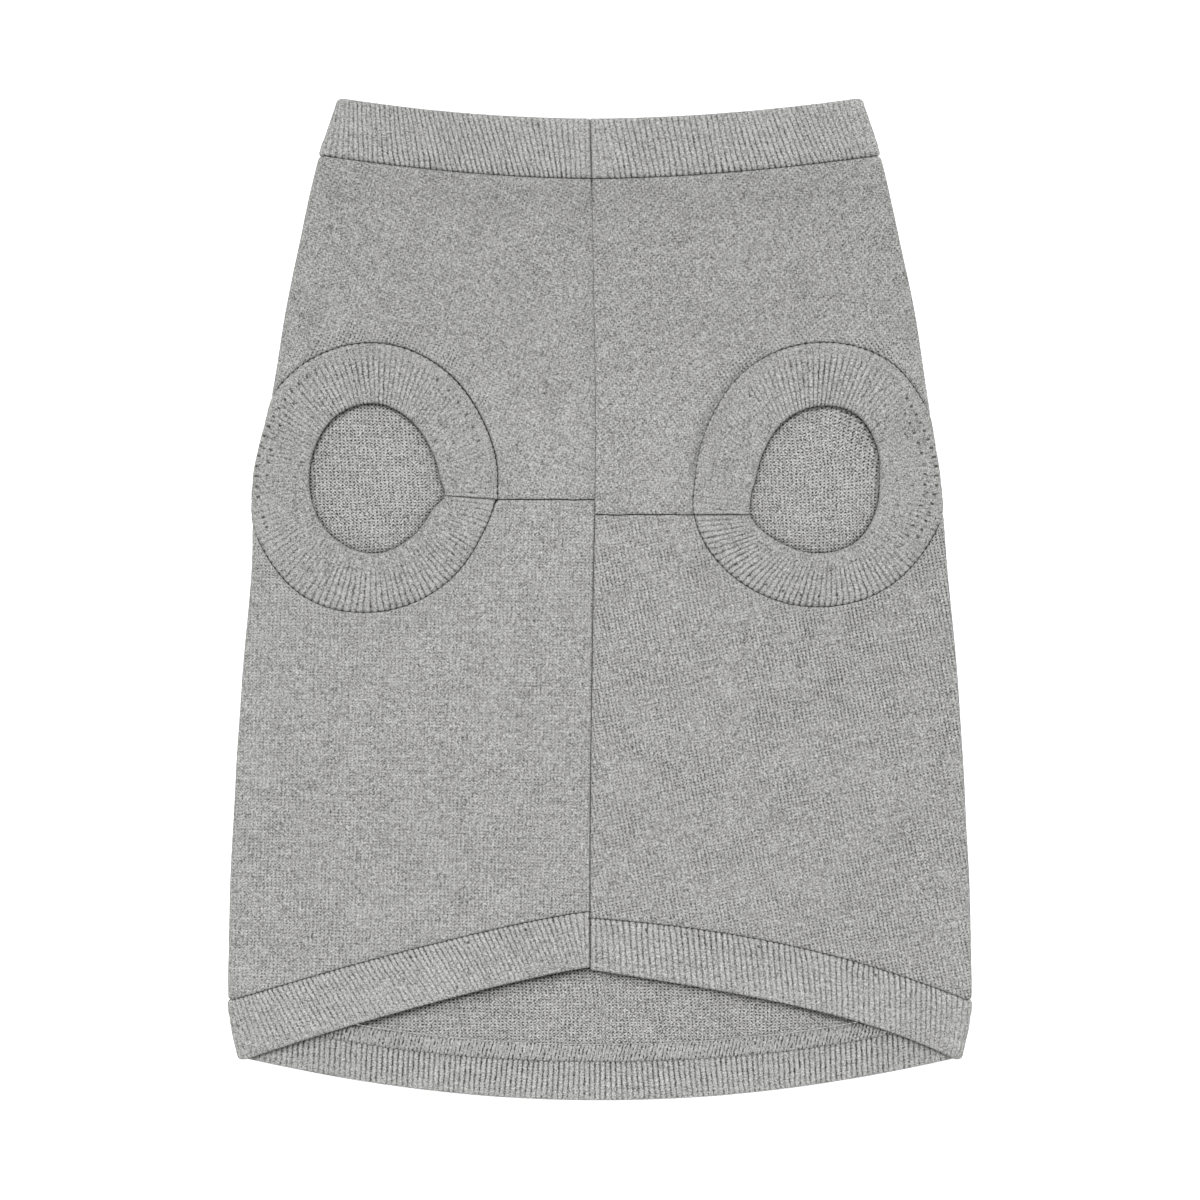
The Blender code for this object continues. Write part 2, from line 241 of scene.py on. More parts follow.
# The overlocked edge inside the back hem
ALLOWANCE_HALF, ALLOWANCE_WIDTH = 96.0, 5.0
ALLOWANCE_THICK, COVERED_THICK = 0.8, 0.2  # in the open, and where the belly side's hem covers it
ALLOWANCE_LIFT = 0.03
ALLOWANCE_CELLS = (360, 12)
OVERLOCK = 2.4  # from one stitch of it to the next
THREAD_RADIUS, THREAD_START, THREAD_RUN = 0.17, 72.0, 150.0
THREAD_STITCH = (
    # (how far down the allowance, how far along the stitch)
    (0.06, 0), (0.35, 0.2), (0.7, 0.42), (0.97, 0.6), (0.75, 0.74), (0.3, 0.9),
)

FAR = 99.0  # a distance at which nothing is near

YARN = (0.335, 0.335, 0.326)  # the yarn's mean colour
CLOTH_SURFACE = {
    "Roughness": 0.92, "Specular IOR Level": 0.12, "Sheen Weight": 0.04, "Sheen Roughness": 0.6,
}
HEATHER = {"leg": 0.3, "fleck": 1.0, "fibre": 2.0, "slub": 0.34, "cloud": 0.18}  # its variation

LIGHTS = (
    # name, where it shines from, strength, softness in degrees
    ("key_light", (-0.15, 1.0, 1.75), 2.1, 16.0),
    ("fill_light", (0.7, -0.6, 1.6), 0.5, 40.0),
)
SKY, WHITE = 0.62, (1.0, 1.0, 1.0, 1.0)
FLOOR_HALF, FLOOR_DOWN = 2.5, 0.0003
FLOOR_SURFACE = {
    "Base Color": (0.96, 0.96, 0.96, 1.0), "Roughness": 0.9,
    "Emission Color": WHITE, "Emission Strength": 0.5,  # so that no shadow shows round the garment
}
LENS, SENSOR, CAMERA_UP = 100.0, 36.0, 1.0


def mix(low, high, share):
    return low + (high - low) * share


def ease(share):
    """0 below 0, 1 above 1 and smooth between."""
    share = np.clip(share, 0, 1)
    return share * share * (3 - 2 * share)


def bell(distance, reach):
    """1 at 0, falling smoothly to nothing beyond reach."""
    return np.exp(-((distance / reach) ** 2))


def curve_through(rows, at):
    """A smooth curve through (x, y) rows, read at values of x."""
    x, y = np.array(rows, float).T
    slope = np.empty(len(x))
    slope[1:-1] = (y[2:] - y[:-2]) / (x[2:] - x[:-2])
    slope[0] = (y[1] - y[0]) / (x[1] - x[0])
    slope[-1] = (y[-1] - y[-2]) / (x[-1] - x[-2])
    here = np.clip(np.searchsorted(x, at) - 1, 0, len(x) - 2)
    span = x[here + 1] - x[here]
    t = (at - x[here]) / span
    rise = y[here + 1] - y[here]
    return (
        y[here]
        + rise * t * t * (3 - 2 * t)
        + span * slope[here] * t * (1 - t) ** 2
        - span * slope[here + 1] * t * t * (1 - t)
    )


def uneven(name, across, up, more=0):
    """Soft unevenness of a kind named in UNEVEN. more is added to its seed."""
    amount, spread, seed = UNEVEN[name]
    draw = np.random.default_rng(seed + more)
    total = np.zeros(np.broadcast(across, up).shape)
    for _ in range(7):
        angle, phase = draw.uniform(0, 2 * math.pi, 2)
        reach = spread * draw.uniform(0.7, 1.6) / (2 * math.pi)
        along = across * math.cos(angle) + up * math.sin(angle)
        total += np.sin(along / reach + phase)
    return amount * np.clip(total / 4, -1, 1)


# ---- the laid garment


def height_of(curve, share):
    """Height of an edge or seam at a share of the way from the middle to the side fold."""
    middle, side, bend, straight = (*curve, 0)[:4]
    share = np.maximum(share, 0)
    return mix(middle, side, mix(share**bend, share, straight))


def share_of(station):
    return np.minimum(np.minimum(station, MIDDLE - station), 1)


def hem_height(side, station, line):
    belly = height_of(HEM_BELLY[side][line], share_of(station))
    return np.where(station < FOLD, belly, height_of(HEM_BACK[line], share_of(station)))


def neck_height(side, station, line):
    return height_of(NECK[line], share_of(station))


def half_width(side, up):
    hole = ARMHOLES[side]
    return curve_through(SIDE_FOLD, up) + hole["bulge"] * bell(up - hole["up"], BULGE_SPREAD)


def armhole_radius(side, bearing, line):
    turns = (-360, 0, 360)
    rows = [(row[0] + turn, row[line[side]]) for turn in turns for row in ARMHOLE_RADII]
    return curve_through(rows, bearing)


def armhole_point(side, bearing, line, grow=0):
    hole = ARMHOLES[side]
    reach = armhole_radius(side, bearing, line) + grow
    angle = np.radians(bearing)
    return hole["across"] + reach * np.cos(angle), hole["up"] + reach * np.sin(angle)


def from_armhole(side, across, up):
    """(bearing, distance) of a point from the middle of the armhole."""
    out, along = across - ARMHOLES[side]["across"], up - ARMHOLES[side]["up"]
    return np.degrees(np.arctan2(along, out)), np.hypot(out, along)


def seam_point(side, bearing, grow=0):
    """A point on the armhole's seam. Past bearing 180 the seam runs straight to the cross seam."""
    across, up = armhole_point(side, bearing, SEAM, grow)
    straight = (bearing % 360 > 180) & (bearing % 360 <= ARMHOLES[side]["ends"])
    limit = armhole_point(side, np.array([180]), SEAM, grow)[0][0]
    return np.where(straight, np.minimum(across, limit), across), up


def cross_seam(side):
    """(across, up) where the seam across the belly meets the armhole's seam, as arrays of one."""
    return seam_point(side, np.array([ARMHOLES[side]["ends"]]))


def in_the_open(side, across, up):
    """How far a point of the back's inner face is from under the bands, by which shade is
    painted under their edges.
    """
    bearing, distance = from_armhole(side, across, up)
    in_hole = 1.8 * (armhole_radius(side, bearing, OPENING) - distance) + 0.5
    return np.maximum(in_hole, height_of(HEM_BELLY[side]["edge"], across / BELLY_HALF) - up)


def inner_light(side, station, up, shown):
    """in_the_open for points of the laid garment, and FAR for those that don't show."""
    return np.where(shown, in_the_open(side, (MIDDLE - station) * fold_of(side, up)[0], up), FAR)


def around(rows, bearing):
    """A table of (bearing, value) rows read all round an armhole."""
    bearings, values = np.transpose(rows)
    return np.interp(bearing % 360, np.append(bearings, 360), np.append(values, values[0]))


def beyond_armhole(side, across, up):
    """Distance outside the armhole's seam."""
    bearing, distance = from_armhole(side, across, up)
    return distance - armhole_radius(side, bearing, SEAM)


def lapped_at(side, bearing):
    """How far the armhole's band laps over its seam, from 0 to 1."""
    return ease((bearing - LAP_BEARING) / LAP_EASE) * (side > 0)


def upper_face(side, across, up):
    """Height of the belly side's outer face."""
    edge = half_width(side, up)
    share = np.clip(across / edge, 0, 1)
    step = BAND - CLOTH
    neck = 2 * step * ease(1 - (height_of(NECK["seam"], share) - up) / BAND_REACH)
    above_belly_hem = up - height_of(HEM_BELLY[side]["seam"], share)
    above_back_hem = up - height_of(HEM_BACK["seam"], share)
    hem = step * ease(1 - above_belly_hem / BAND_REACH)
    hem = hem + step * ease(1 - (above_back_hem - OVERLAP_FLAT) / OVERLAP_REACH)
    armhole = step * ease(1 - beyond_armhole(side, across, up) / ARMHOLE_REACH)
    armhole = armhole * (1 + ease(1 - (edge - across - FOLD_FLAT) / FOLD_REACH))
    return 2 * CLOTH + LAYER_GAP + np.maximum(np.maximum(neck, hem), armhole)


def fold_of(side, up):
    """(across, radius) where the cloth starts to turn under at the side, and how it turns."""
    edge = half_width(side, up)
    radius = upper_face(side, edge, up) / 2
    return edge - radius, radius


def belly_edge(side, up):
    """Distance of the body's edge at the belly seam from the middle line."""
    groove = np.interp(up, *np.transpose(BELLY_GROOVE))
    return groove + side * curve_through(BELLY_SEAM, up)


def lie_of(side, station, up):
    """(turn_in, radius, across): the side fold, and where the station lies on the belly side."""
    turn_in, radius = fold_of(side, up)
    return turn_in, radius, mix(belly_edge(side, up), turn_in, station)


def station_of(side, across, up):
    turn_in, radius = fold_of(side, up)
    start = belly_edge(side, up)
    flat = (across - start) / (turn_in - start)
    return np.where(across < turn_in, flat, np.minimum(FRONT + (across - turn_in) / radius, BACK))


def laid(side, station, up, depth):
    """Places of points of the laid garment, one row each."""
    turn_in, radius, across = lie_of(side, station, up)
    turn, inwards = (FOLD - station) * math.pi / 2, radius - depth
    belly = np.stack([across, up, upper_face(side, across, up) - depth])
    fold = np.stack([turn_in + inwards * np.cos(turn), up, radius + inwards * np.sin(turn)])
    back = np.stack([turn_in * (MIDDLE - station), up, depth])
    x, y, z = np.select([station <= FRONT, station < BACK], [belly, fold], back)
    return np.stack([side * x, y, z], axis=-1)


def unrolled(side, station, up):
    """Distance from the belly seam's middle line, counted on past the side fold."""
    turn_in, radius, across = lie_of(side, station, up)
    return np.where(station <= FRONT, across, turn_in + (station - FRONT) * radius)


def round_length(side, up):
    """Length of cloth from the middle line of the belly to the middle of the back."""
    turn_in, radius = fold_of(side, up)
    return 2 * turn_in + math.pi * radius


def girth(side, station, up):
    """Length of cloth from the middle of the back."""
    turn_in, radius, across = lie_of(side, station, up)
    on_belly = round_length(side, up) - across
    on_fold = turn_in + radius * (BACK - station) * math.pi / 2
    parts = [station <= FRONT, station < BACK]
    return np.select(parts, [on_belly, on_fold], turn_in * (MIDDLE - station))


# ---- walls of cloth


def wall_of_cells(name, columns, rows, place, materials, is_cut=None):
    """A grid of cells made a closed wall. place turns arrays (column, row, under) into points, in
    millimetres, and what each point carries, by name. under is True on the wall's inner face."""
    mesh = bmesh.new()
    bmesh.ops.create_grid(mesh, x_segments=columns, y_segments=rows, size=0.5)
    bmesh.ops.translate(mesh, verts=mesh.verts, vec=(0.5, 0.5, 0))
    bmesh.ops.scale(mesh, verts=mesh.verts, vec=(columns, rows, 1))
    if is_cut:
        cells = [(f, *map(math.floor, f.calc_center_median()[:2])) for f in mesh.faces]
        cut = [f for f, column, row in cells if is_cut(column, row)]
        bmesh.ops.delete(mesh, geom=cut, context="FACES")
    inner = bmesh.ops.extrude_face_region(mesh, geom=mesh.faces[:])["geom"]
    inner = [v for v in inner if isinstance(v, bmesh.types.BMVert)]
    bmesh.ops.translate(mesh, verts=inner, vec=(0, 0, 1))
    bmesh.ops.recalc_face_normals(mesh, faces=mesh.faces[:])
    data = bpy.data.meshes.new(name)
    mesh.to_mesh(data)
    mesh.free()
    for material in materials:
        data.materials.append(material)
    return laid_out(name, data, place)


def laid_out(name, data, place):
    """The object of a mesh whose points are moved from their places in the grid to the garment."""
    grid = np.empty(len(data.vertices) * 3, np.float32)
    data.vertices.foreach_get("co", grid)
    column, row, inner = np.rint(grid.reshape(-1, 3)).T
    under = inner > 0.5
    points, carried = place(column, row, under)
    data.vertices.foreach_set("co", (points * MM).astype(np.float32).ravel())
    data.update()
    if signed_volume(data) < 0:
        data.flip_normals()
    corners = np.empty(len(data.loops), np.int32)
    data.loops.foreach_get("vertex_index", corners)
    for word, values in carried.items():
        if values.ndim == 2:
            uv_map = data.uv_layers.new(name=word)
            uv_map.data.foreach_set("uv", values[corners].astype(np.float32).ravel())
        else:
            attribute = data.attributes.new(word, "FLOAT", "POINT")
            attribute.data.foreach_set("value", values.astype(np.float32))
    if len(data.materials) > 1:
        inside = under[corners].reshape(-1, 4).all(axis=1)
        data.polygons.foreach_set("material_index", inside.astype(np.int32))
    data.shade_smooth()
    return placed(name, data)


def placed(name, data):
    piece = bpy.data.objects.new(name, data)
    bpy.context.collection.objects.link(piece)
    return piece


def signed_volume(data):
    mesh = bmesh.new()
    mesh.from_mesh(data)
    volume = mesh.calc_volume(signed=True)
    mesh.free()
    return volume


def in_halves(place_half, left_columns, columns):
    """A place for the whole garment, from one for a half with columns from the belly seam on."""

    def place(column, row, under):
        points, carried = np.zeros((len(column), 3)), {}
        for side in SIDES:
            chosen = (column <= left_columns) == (side < 0)
            from_belly = (column if side < 0 else columns - column)[chosen]
            points[chosen], half = place_half(side, from_belly, row[chosen], under[chosen])
            for word, values in half.items():
                whole = np.zeros((len(column), *values.shape[1:]))
                carried.setdefault(word, whole)[chosen] = values
        return points, carried

    return place


def roll_down(distance):
    """How far the cloth's face sinks towards an edge that is sewn."""
    return ROLL * np.clip(1 - distance / ROLL_REACH, 0, 1) ** 2


# ---- body


def bearings_at(side, stations, toward_neck):
    """Where the armhole's seam comes to each station, found by halving."""
    near = np.zeros(len(stations))
    far = np.where(toward_neck, 90.0, -90.0)
    for _ in range(40):
        middle = (near + far) / 2
        short = station_of(side, *seam_point(side, middle, HALF_GAP)) < stations
        far, near = np.where(short, middle, far), np.where(short, near, middle)
    return far


def armhole_bearings(side, toward_neck):
    ends = ARMHOLES[side]["ends"] - (0 if toward_neck else 360)
    round_fold = bearings_at(side, np.linspace(FRONT, BACK, FOLD_CELLS + 1), toward_neck)
    return np.concatenate([np.linspace(ends, round_fold[0], ARMHOLE_CELLS + 1)[:-1], round_fold])


def body_columns(side, toward_neck):
    """(far_station, near_station, near_up) of each column from the belly seam to mid-back."""
    gap = CROSS_GROOVE * (1 if toward_neck else -1)
    across, up = seam_point(side, armhole_bearings(side, toward_neck), HALF_GAP)
    slit_up = cross_seam(side)[1] + gap
    slit_end = station_of(side, across[:1], slit_up)[0]
    slit = slit_end * (np.arange(SLIT_CELLS + 1) / SLIT_CELLS) ** SLIT_CROWD
    near = np.concatenate([slit, station_of(side, across[1:], up[1:])])
    run = CROSS_HALF * slit
    wave = uneven("cross_seam", run, 0 * run)
    wave = wave * ease(run / 3) * ease((slit_end * CROSS_HALF - run) / 3)
    near_up = np.concatenate([slit_up[0] + wave, up[1:]])
    front = SLIT_CELLS + ARMHOLE_CELLS
    far = np.concatenate([
        (np.arange(front + 1) / front) ** FRONT_CROWD,
        np.linspace(FRONT, BACK, FOLD_CELLS + 1)[1:],
    ])
    share = np.arange(1, BACK_CELLS + 1) / BACK_CELLS
    middle = ARMHOLES[side]["up"] + (near_up[-1] - ARMHOLES[side]["up"]) * 2
    across_back = mix(near_up[-1], middle, ease(2 * share))
    back = BACK + share
    return [np.concatenate(pair) for pair in ((far, back), (near, back), (near_up, across_back))]


def body_knit(side, station, up):
    """The number of the wale and of the course at each point. The wales lean on the belly side,
    more above the seam across it, and are upright at the middle of the back."""
    start = cross_seam(side)[1]
    across_back = ease((up - ARMHOLES[side]["up"]) / LEAN_CHANGE + 0.5)
    above = np.where(station < BACK, (up > start[0]).astype(float), across_back)
    held = ease((BACK + LEAN_END - station) / LEAN_END)
    lean = mix(LEAN_LOWER[side], LEAN_UPPER[side], above)
    slope = np.where(station < FOLD, lean, (lean - mix(*LEAN_LOSS, above)) * held)
    taper = round_length(side, up) - round_length(side, start)[0]
    shift = (lean * (up - start[0]) + taper) * held
    length, at_fold = girth(side, station, up), girth(side, np.full_like(up, FOLD), up)
    close = mix(1, 1 / np.sqrt(1 + lean**2), held)
    wale = close * (length - shift) + (1 - close) * girth(side, np.full(1, FOLD), start)[0]
    course = close * (up - start[0] + slope * (length - at_fold))
    return np.stack([side * wale / WALE, course / COURSE], axis=-1)


def wale_strength(side, station, up):
    """How strongly the wales stand out: most at the lower right, least on the upper half."""
    low = ease((30 - up) / 12)
    reach = np.clip(station, 0, 1)
    beside_band = bell(beyond_armhole(side, unrolled(side, station, up), up), 6)
    stretched = 0.5 * beside_band * (station < BACK) * ease((up - 50) / 20)
    if side > 0:
        under_armhole = bell(up + 12, 26) * ease((reach - 0.35) / 0.3)
        return mix(0.06, 0.48 + 0.1 * reach + 0.25 * under_armhole, low) + stretched
    return mix(0.04, 0.14 + 0.16 * ease((-50 - up) / 40), low) + stretched


def body_points(side, lower, upper, row):
    """(station, up, distance from a band, distance below the neck) of points in these columns."""
    far, near, near_up = lower
    far2, near2, near_up2 = upper
    hem_up = hem_height(side, far, "seam") + HALF_GAP
    neck_up = neck_height(side, far2, "seam") - HALF_GAP
    up_share = (1 - np.cos(np.pi * np.clip(row / LOWER_CELLS, 0, 1))) / 2
    top = (row - LOWER_CELLS - ACROSS_CELLS) / UPPER_CELLS
    down_share = (1 + np.cos(np.pi * np.clip(top, 0, 1))) / 2
    across_share = (row - LOWER_CELLS) / ACROSS_CELLS
    corners = ((far, hem_up), (near, near_up), (near2, near_up2), (far2, neck_up))
    hem, armpit, shoulder, neck = map(np.stack, corners)
    below, beside = mix(hem, armpit, up_share), mix(armpit, shoulder, across_share)
    parts = [row <= LOWER_CELLS, row < LOWER_CELLS + ACROSS_CELLS]
    station, up = np.select(parts, [below, beside], mix(neck, shoulder, down_share))
    return station, up, np.minimum(np.abs(up - hem_up), np.abs(neck_up - up)), neck_up - up


def body_seams(side, station, up, from_bands):
    """(distance from the nearest seam, distance from the belly seam, shade) on the body. The shade
    holds painted shade beside the right band where it laps and beside the belly seam, and darkens
    the body more towards the neck.
    """
    across = unrolled(side, station, up)
    hole = beyond_armhole(side, across, up) - HALF_GAP
    hole = np.where(station < BACK, hole, FAR)
    (slit_across,), (slit_up,) = cross_seam(side)
    slit = np.where(across < slit_across, np.abs(up - slit_up) - HALF_GAP, FAR)
    belly = np.where(station < FRONT, across - belly_edge(side, up), FAR)
    start, end = QUIET_SEAM
    quiet = 0.35 * ease((up - start) / 4) * ease((end - up) / 4)
    lapped = lapped_at(side, from_armhole(side, across, up)[0]) * (up > slit_up)
    near_seam = np.min([hole + 0.6 * lapped, slit, belly + quiet, from_bands], axis=0)
    # painted shade on the body beside the right band, where the band laps over its seam
    shade = lapped * bell(hole, 1.8) * (station < FRONT)
    # painted shade in a faint strip beside the belly seam, on the left side above the cross seam
    shade = shade + 0.22 * (side < 0) * (up > slit_up) * bell(belly, 2.6)
    # darker above the cross seam, and more so towards the neck
    shade = shade + 0.07 * ease((up - 22) / 8) + 0.22 * ease((up - 55) / 35)
    return near_seam, belly, shade


def make_body(materials):
    upper = {side: body_columns(side, True) for side in SIDES}
    lower = {side: body_columns(side, False) for side in SIDES}
    columns = len(upper[-1][0]) - 1
    open_columns = SLIT_CELLS + ARMHOLE_CELLS + FOLD_CELLS
    for rows in (upper, lower):
        middle = (rows[-1][2][-1] + rows[1][2][-1]) / 2
        rows[-1][2][-1] = rows[1][2][-1] = middle

    def place(side, column, row, under):
        below, above = ([v[column.astype(int)] for v in half[side]] for half in (lower, upper))
        station, up, from_bands, below_neck = body_points(side, below, above, row)
        near_seam, belly, shade = body_seams(side, station, up, from_bands)
        across = side * unrolled(side, station, up)
        soft = uneven("body_swell", across, up) + uneven("body_dimples", across, up)
        outer = np.maximum(roll_down(near_seam) + OUTER_SINK + soft, 0)
        depth = np.where(under, CLOTH - INNER_SINK - 0.6 * soft, outer)
        from_corner = CORNER - np.clip(below_neck, 0, CORNER)
        corner = CORNER - np.sqrt(CORNER**2 - from_corner**2)
        points = laid(side, station, up, depth)
        points[:, 0] += side * corner * np.clip(1 - belly / CORNER_REACH, 0, 1)
        return points, {
            "knit": body_knit(side, station, up),
            "strength": wale_strength(side, station, up),
            "open": inner_light(side, station, up, station >= BACK),
            "shade": shade,
            "seam": near_seam,
        }

    def is_cut(column, row):
        across = LOWER_CELLS <= row < LOWER_CELLS + ACROSS_CELLS
        return across and min(column, 2 * columns - 1 - column) < open_columns

    rows = LOWER_CELLS + ACROSS_CELLS + UPPER_CELLS
    place = in_halves(place, columns, 2 * columns)
    return wall_of_cells("knit_body", 2 * columns, rows, place, materials, is_cut)


# ---- ribbed bands


def station_at(side, distance, up):
    """The station at a length of cloth from the belly seam."""
    turn_in, radius = fold_of(side, up)
    front = turn_in - belly_edge(side, up)
    fold = math.pi * radius
    return np.select(
        [distance < front, distance < front + fold],
        [distance / front, FRONT + (BACK - FRONT) * (distance - front) / fold],
        np.minimum(BACK + (distance - front - fold) / turn_in, MIDDLE),
    )


def band_widths():
    """Distances from a band's seam of its rows of cells, closer at the seam and round the fold."""
    flat = BAND_WIDTH - BAND / 2
    round_edge = flat + BAND / 2 * np.sin(np.radians((20, 40, 58, 74, 90)))
    return np.concatenate([BAND_ROWS, [flat], round_edge])


def band_section(rib, width, sink, under):
    """(share of the width, depth) of a point of a doubled band, sunk from its ribs' crests. Its
    seam is drawn in between two ribs."""
    half = BAND / 2
    into_edge = np.clip(1 - (BAND_WIDTH - width) / half, 0, 1)
    sink = sink * (1 - 0.6 * into_edge)
    round_off = np.sqrt(1 - into_edge**2)
    depth = half + np.where(under, 1, -1) * np.maximum(half - sink, 0.15) * round_off
    scallop = SCALLOP * (1 - np.abs(np.sin(np.pi * rib))) * bell(width, 0.4) / BAND_WIDTH
    return (width - sink * into_edge) / BAND_WIDTH + scallop, depth


def rib_sink(rib, strength):
    """How far a rib's face lies below its crest."""
    return RIB_DEPTH * strength * (1 - np.abs(np.sin(np.pi * rib)) ** 0.7)


def allowance_rise(width, along, seed):
    """How far a band's face is pushed up by the seam allowance that lies inside it."""
    edge = ALLOWANCE + uneven("allowance", along, 0 * along, seed)
    return ALLOWANCE_RISE * ease(width / 1.3) * (1 - ease((width - edge + 0.5) / 0.9))


def carried_by(rib, along, width, strength, light):
    """What the points of a band carry."""
    knit = np.stack([rib, width / COURSE], axis=-1)
    edge = np.stack([along, width], axis=-1)
    return {"knit": knit, "edge": edge, "strength": strength, "open": light}


def round_strength(band, side, share, from_belly, width):
    """How strongly the ribs of a band round the garment stand out."""
    beside_seam = mix(band["beside_seam"], 1, ease(from_belly / 10))
    bold = mix(*band["bold"][side], ease((share - 0.45) / 0.1))
    at_fold = 1 - 0.6 * bell(share - 0.5, 0.055)
    patches = 1 + uneven("round_strength", side * from_belly, width)
    past_allowance = 0.25 * ease((width - 3) / 3)
    across = 1.15 - past_allowance - band["edge_fade"] * ease((width - 12) / 4)
    return beside_seam * bold * at_fold * patches * across


def leaning(lines, band, side, share, from_belly, width, across_band):
    """(station, up) of points of a band round the garment. share is how far round they start."""
    along, seed = side * from_belly, band["seed"]
    slope = curve_through(band["lean"][side], share * MIDDLE)
    kink = uneven("round_kink", along, width, seed) * (1 - ease(width / ALLOWANCE))
    wander = uneven("round_wander", along, width, seed)
    held = ease(from_belly / 4) * ease((1 - share) / 0.02)
    drawn_in = mix(held * ease((share - 0.4) / 0.2), 1, share > 0.5)
    station = share * MIDDLE
    for _ in range(4):
        seam, edge = lines(side, station, "seam"), lines(side, station, "edge")
        seam = seam + np.copysign(HALF_GAP, edge - seam)
        up = mix(seam, edge, across_band)
        middle = (seam + edge) / 2
        lean = slope * (up - middle) + KINK * kink + wander
        length, here = (round_length(side, u) - belly_edge(side, u) for u in (middle, up))
        narrowing = (here - length) * drawn_in
        station = station_at(side, share * length + narrowing + lean * held, up)
    return station, up


def round_band(name, lines, band, material):
    """A band round the whole garment. lines gives the height of its seam and edge."""
    columns = {side: band["ribs"][side] * CELLS_IN_A_RIB for side in SIDES}
    both = columns[-1] + columns[1]
    widths = band_widths()

    def place(side, column, row, under):
        width = widths[row.astype(int)]
        share = column / columns[side]
        in_front, at_ends = band["spread"][side]
        share = share + in_front * np.sin(math.pi * share)
        share = share + at_ends * np.sin(2 * math.pi * column / columns[side])
        rib = column / CELLS_IN_A_RIB
        from_belly = share * 2 * half_width(side, lines(side, share * MIDDLE, "seam"))
        along = side * from_belly
        strength = round_strength(band, side, share, from_belly, width)
        rise = allowance_rise(width, along, band["seed"]) * (1 + 0.8 * bell(along, 12))
        sink = rib_sink(rib, strength) + RIB_SINK - rise + roll_down(np.minimum(width, from_belly))
        sink = sink + uneven("round_level", along, width, band["seed"])
        across_band, depth = band_section(rib, width, np.where(under, sink + rise, sink), under)
        station, up = leaning(lines, band, side, share, from_belly, width, across_band)
        light = inner_light(side, station, up, (station >= BACK) & (up < 0))
        points = laid(side, station, up, depth)
        return points, carried_by(side * rib, along, width, strength, light)

    place = in_halves(place, columns[-1], both)
    return wall_of_cells(name, both, len(widths) - 1, place, [material])


def armhole_band(name, side, material):
    """A band round an armhole, with its two ends at the cross seam."""
    hole, columns = ARMHOLES[side], ARMHOLE_RIBS * CELLS_IN_A_RIB
    widths = band_widths()

    def place(column, row, under):
        width = widths[row.astype(int)]
        bearing = hole["ends"] - 360 * column / columns
        rib = column / CELLS_IN_A_RIB
        along = np.radians(hole["ends"] - bearing) * MEAN_RADIUS
        from_end = np.minimum(along, 2 * math.pi * MEAN_RADIUS - along)
        toward_neck = 0.5 + 0.5 * np.sin(np.radians(bearing))
        seam_side, edge_side = 1 - ease((width - 9.5) / 4.5), ease((width - 2) / 3)
        strength = around(hole["shown"], bearing)
        strength = strength * (1 + uneven("armhole_strength", along, width))
        strength = strength * (0.25 + 0.75 * mix(seam_side, edge_side, ease(toward_neck)))
        rise = 0.8 * allowance_rise(width, along, 60 + side)
        sink = 0.55 * rib_sink(rib, strength) + RIB_SINK - rise
        sink = sink + roll_down(np.minimum(width + 0.5 * lapped_at(side, bearing), from_end))
        sink = sink + uneven("armhole_level", along, width, side)
        upper_end = bell(along, 7) * (column <= columns / 2)
        lower_end = bell(from_end, 7) * (column > columns / 2)
        sink = sink + hole["lap"] * (lower_end - upper_end)
        across_band, depth = band_section(rib, width, np.where(under, sink + rise, sink), under)
        skew = hole["skew"] * np.cos(np.radians(bearing - hole["ends"]) / 2) ** 4
        kink = uneven("armhole_kink", along, width, side) * (1 - ease(width / ALLOWANCE))
        wander = uneven("armhole_wander", along, width, side)
        turn = np.degrees((KINK * kink + wander) * ease(from_end / 4) / MEAN_RADIUS)
        groove = around(hole["groove"], bearing) - FOLDED_GAP / 2
        seam = seam_point(side, bearing + turn, -HALF_GAP - np.maximum(groove, -0.05))
        opening = armhole_point(side, bearing + skew + turn, OPENING)
        across, up = (mix(low, high, across_band) for low, high in zip(seam, opening))
        up = up + HALF_GAP * ((column == 0).astype(float) - (column == columns))
        points = laid(side, station_of(side, across, up), up, depth)
        return points, carried_by(rib, along, width, strength, np.full(len(column), FAR))

    return wall_of_cells(name, columns, len(widths) - 1, place, [material])


# ---- seam allowance inside the hem


def allowance_place(across, share, depth):
    """A point on the overlocked allowance that lies on the back band's inner face."""
    reach = np.abs(across) / BACK_HALF
    up = height_of(HEM_BACK["seam"], reach) - HALF_GAP - ALLOWANCE_WIDTH * share
    left, right = (hem_height(side, reach, "edge") for side in SIDES)
    open_below = np.where(across < 0, left, right) - up
    thick = mix(COVERED_THICK, ALLOWANCE_THICK, ease(open_below / 3))
    return np.stack([across, up, BAND + ALLOWANCE_LIFT + thick * depth], axis=-1)


def hem_allowance(name, material):
    columns, rows = ALLOWANCE_CELLS

    def place(column, row, under):
        across = mix(-ALLOWANCE_HALF, ALLOWANCE_HALF, column / columns)
        stitch = np.sin(2 * math.pi * across / OVERLOCK)
        share = row / rows + uneven("sewn_edge", across, row) * (row / rows)
        share = share + (uneven("cut_edge", across, row) - 0.03) * (row == 0)
        share = share + 0.03 * stitch * (row == rows)
        crown = np.sqrt(np.clip(1 - np.abs(2 * row / rows - 1) ** 4, 0, 1))
        puff = 1 + uneven("sewn_puff", across, row) + 0.08 * stitch
        depth = np.where(under, 0, 0.12 + 0.88 * crown * puff)
        points = allowance_place(across, share, depth)
        left, right = (in_the_open(side, np.abs(across), points[:, 1]) for side in SIDES)
        return points, {
            "knit": np.stack([across / OVERLOCK, share * ALLOWANCE_WIDTH], axis=-1),
            "open": np.where(across < 0, left, right),
        }

    return wall_of_cells(name, columns, rows, place, [material])


